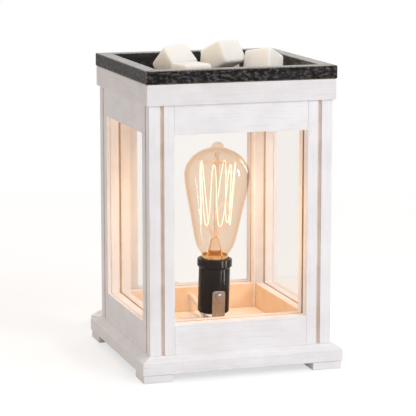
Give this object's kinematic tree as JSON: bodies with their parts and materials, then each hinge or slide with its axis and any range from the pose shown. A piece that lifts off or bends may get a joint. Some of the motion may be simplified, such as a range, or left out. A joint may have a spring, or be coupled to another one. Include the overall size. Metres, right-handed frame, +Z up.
{
  "type": "bulb fragrance warmer",
  "caption": "Whitewashed wooden lantern with glass panes and a filament bulb inside, whose heat melts scented wax in a lift-off tray on top; corded, with an inline rocker switch.",
  "frame": {"origin": "on the floor under the middle of the lantern's plinth", "axes": "+Z up; -Y is the front that the picture sees most of, +X is to its right; the cord leaves at +Y"},
  "size_m": [0.2029, 0.2818, 0.3115],
  "materials": {
    "whitewashed_wood": "matt white wash over pine, worn through at the edges and grooves",
    "bare_wood": "thinly washed pine",
    "black_rim": "satin black paint, rubbed grey in patches",
    "enamel_steel": "semi-gloss black enamel",
    "wax": "soft white wax",
    "clear_glass": "clear float glass",
    "bulb_glass": "clear glass that looks amber in the lamp's own light",
    "steel": "brushed",
    "brass": "rolled, bright",
    "phenolic": "dark brown moulded phenolic",
    "porcelain": "glass insulator",
    "tungsten": "glowing filament wire",
    "white_plastic": "moulded, satin",
    "cord": "white flexible sheath"
  },
  "bodies": {
    "lantern": {"plinth": "whitewashed_wood", "floor_board": "bare_wood", "post_front_left": "whitewashed_wood", "post_front_right": "whitewashed_wood", "post_back_right": "whitewashed_wood", "post_back_left": "whitewashed_wood", "lower_rail_front": "whitewashed_wood", "lower_rail_right": "whitewashed_wood", "lower_rail_back": "whitewashed_wood", "lower_rail_left": "whitewashed_wood", "upper_rail_front": "whitewashed_wood", "upper_rail_right": "whitewashed_wood", "upper_rail_back": "whitewashed_wood", "upper_rail_left": "whitewashed_wood", "glass_front": "clear_glass", "glass_right": "clear_glass", "glass_back": "clear_glass", "glass_left": "clear_glass", "rear_window_strip": "whitewashed_wood", "cap_frame": "whitewashed_wood", "socket_bracket": "steel", "bracket_side_screw": "steel", "bracket_foot_screw": "steel", "socket_body": "phenolic", "socket_shell": "brass", "socket_centre_contact": "brass", "terminal_screw_left": "brass", "terminal_screw_right": "brass", "internal_lead": "cord", "strain_relief": "white_plastic", "cord_lead": "cord", "switch_base": "white_plastic", "switch_cover": "white_plastic", "switch_screw_1": "steel", "switch_screw_2": "steel", "switch_contact": "brass", "cord_to_coil": "cord", "cord_coil": "cord", "coil_tie": "white_plastic", "cord_to_plug": "cord", "plug_body": "white_plastic", "plug_blade_1": "brass", "plug_blade_2": "brass"},
    "tray": {"tray_rim": "black_rim", "wax_dish": "enamel_steel", "wax_melt_1": "wax", "wax_melt_2": "wax", "wax_melt_3": "wax", "wax_melt_4": "wax", "wax_melt_5": "wax", "wax_melt_6": "wax"},
    "bulb_tip_contact": {"bulb_contact": "steel"},
    "bulb": {"bulb_glass": "bulb_glass", "bulb_cap": "brass", "bulb_insulator": "porcelain", "bulb_stem": "clear_glass", "bulb_filament": "tungsten", "bulb_upper_hooks": "steel", "bulb_lower_hooks": "steel"},
    "rocker": {"switch_rocker": "white_plastic"}
  },
  "joints": [
    {"name": "tray_lift", "type": "slide", "parent": "lantern", "child": "tray", "axis": [0, 0, 1], "range_m": [0, 0.06]},
    {"name": "bulb_rise", "type": "slide", "parent": "lantern", "child": "bulb_tip_contact", "axis": [0.0279, 0, 0.9996], "range_m": [0, 0.01089]},
    {"name": "bulb_turn", "type": "hinge", "parent": "bulb_tip_contact", "child": "bulb", "pos_m": [0.0002, 0, 0.027], "axis": [0.0279, 0, 0.9996], "range_deg": [0, 1080]},
    {"name": "rocker_pivot", "type": "hinge", "parent": "lantern", "child": "rocker", "pos_m": [0.0492, 0.142, 0.012], "axis": [0, 1, 0], "range_deg": [0, 16]}
  ],
  "couplings": [
    {"joint": "bulb_rise", "follows": "bulb_turn", "m_per_rad": 0.00057757}
  ]
}
